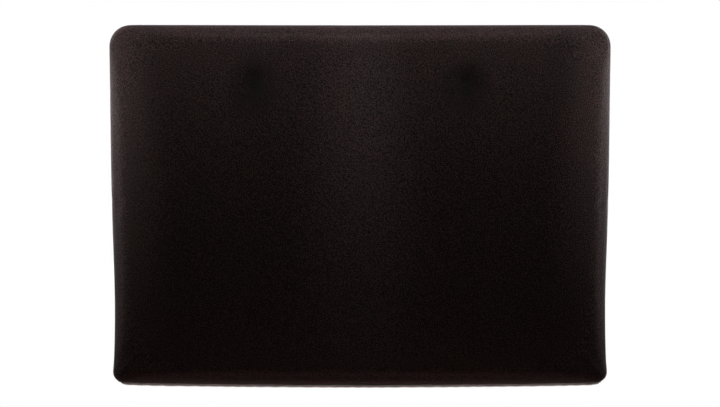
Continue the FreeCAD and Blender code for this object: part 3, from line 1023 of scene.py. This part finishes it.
def add_cover(materials):
    """The cover and all that is sewn to it. Says how the cover moved as it was blown up."""
    cover, gusset, shaped, seam_loop, stitching = strike_cover_and_gusset()
    tape, threads = binding_form(seam_loop)
    for piece, node, slot, look in (
        (cover, "strike_cover", "strike_cloth", "strike_cloth"),
        (gusset, "bottom_gusset", "side_cloth", "side_cloth"),
        (tape, "seam_binding", "binding", "binding"),
        (threads, "seam_binding", "binding", "thread"),
        (stitching, "strike_cover", "side_cloth", "black_thread"),
    ):
        paint(piece, materials[look])
        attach(piece, "pad")
        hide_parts(node)
        press(piece)
    return shaped


def add_back(materials):
    """The skirt and the dust sheet."""
    skirt, sheet = cover_skirt(), dust_sheet()
    for piece, node, slot in (
        (skirt, "cover_skirt", "side_cloth"),
        (sheet, "dust_cover", "dust_sheet"),
    ):
        paint(piece, materials[slot])
        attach(piece, "pad")
        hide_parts(node)


def add_foams(materials, shaped):
    """The three foam layers, the front one following the cover."""
    base = foam_block("base_foam_layer", BOARD_FRONT, BASE_FRONT, EASE, None)
    mid = foam_block("mid_foam_layer", BASE_FRONT, MID_FRONT, EASE, None)
    roll = FACE_ROLL - FOAM_INSET
    front = foam_block("front_foam_layer", MID_FRONT + LAYER_GAP, FOAM_FRONT, roll, shaped)
    bore_pockets(base, BOARD_FRONT, BASE_FRONT)
    bore_pockets(mid, BASE_FRONT, MID_FRONT)
    for piece, node, body in (
        (base, "base_foam", "pad"),
        (mid, "mid_foam", "pad"),
        (front, "front_foam", "strike_layer"),
    ):
        paint(piece, materials[node])
        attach(piece, body)
        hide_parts(node)
    press(mid)


CAD_LOOKS = {
    "cleat": ["wall_cleat", "pad_cleat"],
    "cap_plastic": ["end_cap_left", "end_cap_right"],
    "black_steel": ["pad_cleat_bolts"],
    "zinc_steel": [
        "pad_cleat_washers",
        "pad_cleat_screws",
        "tee_nuts",
        "cover_staples",
        "dust_cover_staples",
        "bumper_screws",
    ],
    "plywood": ["backing_board"],
    "rubber": ["bumper_left", "bumper_right"],
}


def paint_cad(materials):
    for look, nodes in CAD_LOOKS.items():
        for node in nodes:
            paint(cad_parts[node], materials[look])


def all_materials():
    return {
        "strike_cloth": strike_cloth(),
        "side_cloth": woven_cloth("side_cloth", (0.006, 0.005, 0.005), (0.022, 0.018, 0.018), 0.9 * MM),
        "binding": spun_thread("binding", (0.35, 0.32, 0.32), (0.57, 0.54, 0.54)),
        "thread": spun_thread("overlock_thread", (0.42, 0.4, 0.39), (0.67, 0.65, 0.65)),
        "black_thread": spun_thread("black_thread", (0.02, 0.018, 0.018), (0.06, 0.055, 0.055)),
        "dust_sheet": spunbond(),
        "plywood": plywood(),
        "cleat": extruded_aluminium(),
        "black_steel": plated_steel("black_steel", (0.012, 0.012, 0.013), (0.035, 0.034, 0.036), 0.6),
        "zinc_steel": plated_steel("zinc_steel", (0.42, 0.42, 0.4), (0.68, 0.68, 0.66), 1.0),
        "cap_plastic": moulded("cap_plastic", (0.012, 0.012, 0.013), (0.03, 0.03, 0.031), 1200, 0.5),
        "rubber": moulded("rubber", (0.014, 0.014, 0.014), (0.045, 0.044, 0.042), 700, 0.75),
        "base_foam": cellular_foam("base_foam", (0.02, 0.02, 0.022), (0.06, 0.06, 0.064), 0.7 * MM),
        "mid_foam": cellular_foam("mid_foam", (0.4, 0.4, 0.39), (0.66, 0.66, 0.64), 1.4 * MM),
        "front_foam": cellular_foam("front_foam", (0.5, 0.44, 0.3), (0.8, 0.75, 0.58), 1.0 * MM),
    }


# Studio ---------------------------------------------------

FLOOR_BELOW = 1.35
FLOOR_RADIUS = 3.4
FLOOR_SIDES = 96
BACKDROP = (1, 1, 1, 1)
COOL = (0.93, 1.01, 1.03)
BLUE = (0.93, 1.13, 1.23)
WARM = (1.0, 0.79, 0.75)
WHITE = (1.0, 1.0, 1.0)
# Each light's place, the point that it faces, its size, its spread in degrees, its power in watts and its
# colour. A light that is right of the middle has a twin on the left.
LIGHTS = {
    "top_rim": ((0, -0.07, 0.635), (0, -0.07, 0.135), (0.78, 0.04), 60, 0.26, BLUE),
    "top_wash": ((0, -0.22, 0.385), (0, -0.1, 0.085), (0.78, 0.04), 60, 0.96, COOL),
    "middle_beam": ((0, -0.35, 0.685), (0, -0.1, -0.045), (0.04, 0.04), 14, 0.041, BLUE),
    "edge_beam": ((0.36, -0.35, 0.685), (0.36, -0.1, -0.065), (0.04, 0.04), 14, 0.045, COOL),
    "edge_beam_high": ((0.36, -0.35, 0.685), (0.36, -0.1, 0.005), (0.04, 0.04), 14, 0.075, COOL),
    "side_strip": ((0.5, -0.105, -0.08), (0, -0.105, -0.08), (0.03, 0.44), 180, 0.38, WHITE),
    "low_strip": ((0, -0.16, -0.565), (0, -0.1, -0.315), (0.8, 0.04), 180, 0.55, WARM),
    "back_box": ((1.2, 1.4, 0.785), (0, 0, -0.115), (0.9, 0.9), 180, 5.2, WARM),
    "back_fill": ((0, 1.7, 0.3), (0, 0, -0.115), (1.4, 0.9), 90, 14, WHITE),
}


def area_light(name, place, target, size, spread, power, colour):
    data = bpy.data.lights.new(name, "AREA")
    data.shape, data.size, data.size_y = "RECTANGLE", *size
    data.spread, data.energy, data.color = math.radians(spread), power, colour
    lamp = bpy.data.objects.new(name, data)
    lamp.visible_camera = False
    bpy.context.scene.collection.objects.link(lamp)
    lamp.location = place
    lamp.rotation_euler = (Vector(target) - Vector(place)).to_track_quat("-Z", "Y").to_euler()
    return lamp


def studio():
    """The floor, the lights and a backdrop that only the camera sees, so that it doesn't light the pad."""
    scene = bpy.context.scene
    scene.view_settings.view_transform = "Standard"
    world = bpy.data.worlds.new("studio")
    scene.world = world
    world.use_nodes = True
    backdrop = world.node_tree.nodes["Background"]
    backdrop.inputs["Color"].default_value = BACKDROP
    rays = world.node_tree.nodes.new("ShaderNodeLightPath")
    world.node_tree.links.new(rays.outputs["Is Camera Ray"], backdrop.inputs["Strength"])

    for name, (place, target, *settings) in LIGHTS.items():
        for side in (1, -1) if place[0] else (1,):
            mirror = Vector((side, 1, 1))
            area_light(name, mirror * Vector(place), mirror * Vector(target), *settings)

    around = np.arange(FLOOR_SIDES) * 2 * math.pi / FLOOR_SIDES
    rim = np.column_stack([np.cos(around), np.sin(around), np.zeros(FLOOR_SIDES)]) * FLOOR_RADIUS
    floor = make_piece("floor", rim + [0, 0, MIDDLE_Z - FLOOR_BELOW], [range(FLOOR_SIDES)])
    floor.data.materials.append(pale_floor())


CAMERA_DISTANCE = 1.404  # from the seam's depth
CAMERA_TILT = math.radians(1.92)
CAMERA_AIM = 0.7 * MM  # above the pad's middle
CAMERA_SENSOR, CAMERA_LENS = 36, 50  # in millimetres


def camera():
    """The camera, in front of the pad and a little above it."""
    data = bpy.data.cameras.new("camera")
    data.sensor_width, data.lens = CAMERA_SENSOR, CAMERA_LENS
    made = bpy.data.objects.new("camera", data)
    bpy.context.scene.collection.objects.link(made)
    back = Vector((0, -math.cos(CAMERA_TILT), math.sin(CAMERA_TILT)))
    made.location = Vector((0, -SEAM_FRONT, MIDDLE_Z + CAMERA_AIM)) + back * CAMERA_DISTANCE
    made.rotation_euler = (-back).to_track_quat("-Z", "Y").to_euler()
    bpy.context.scene.camera = made


materials = all_materials()
shaped_cover = add_cover(materials)
add_back(materials)
add_foams(materials, shaped_cover)
paint_cad(materials)
studio()
camera()
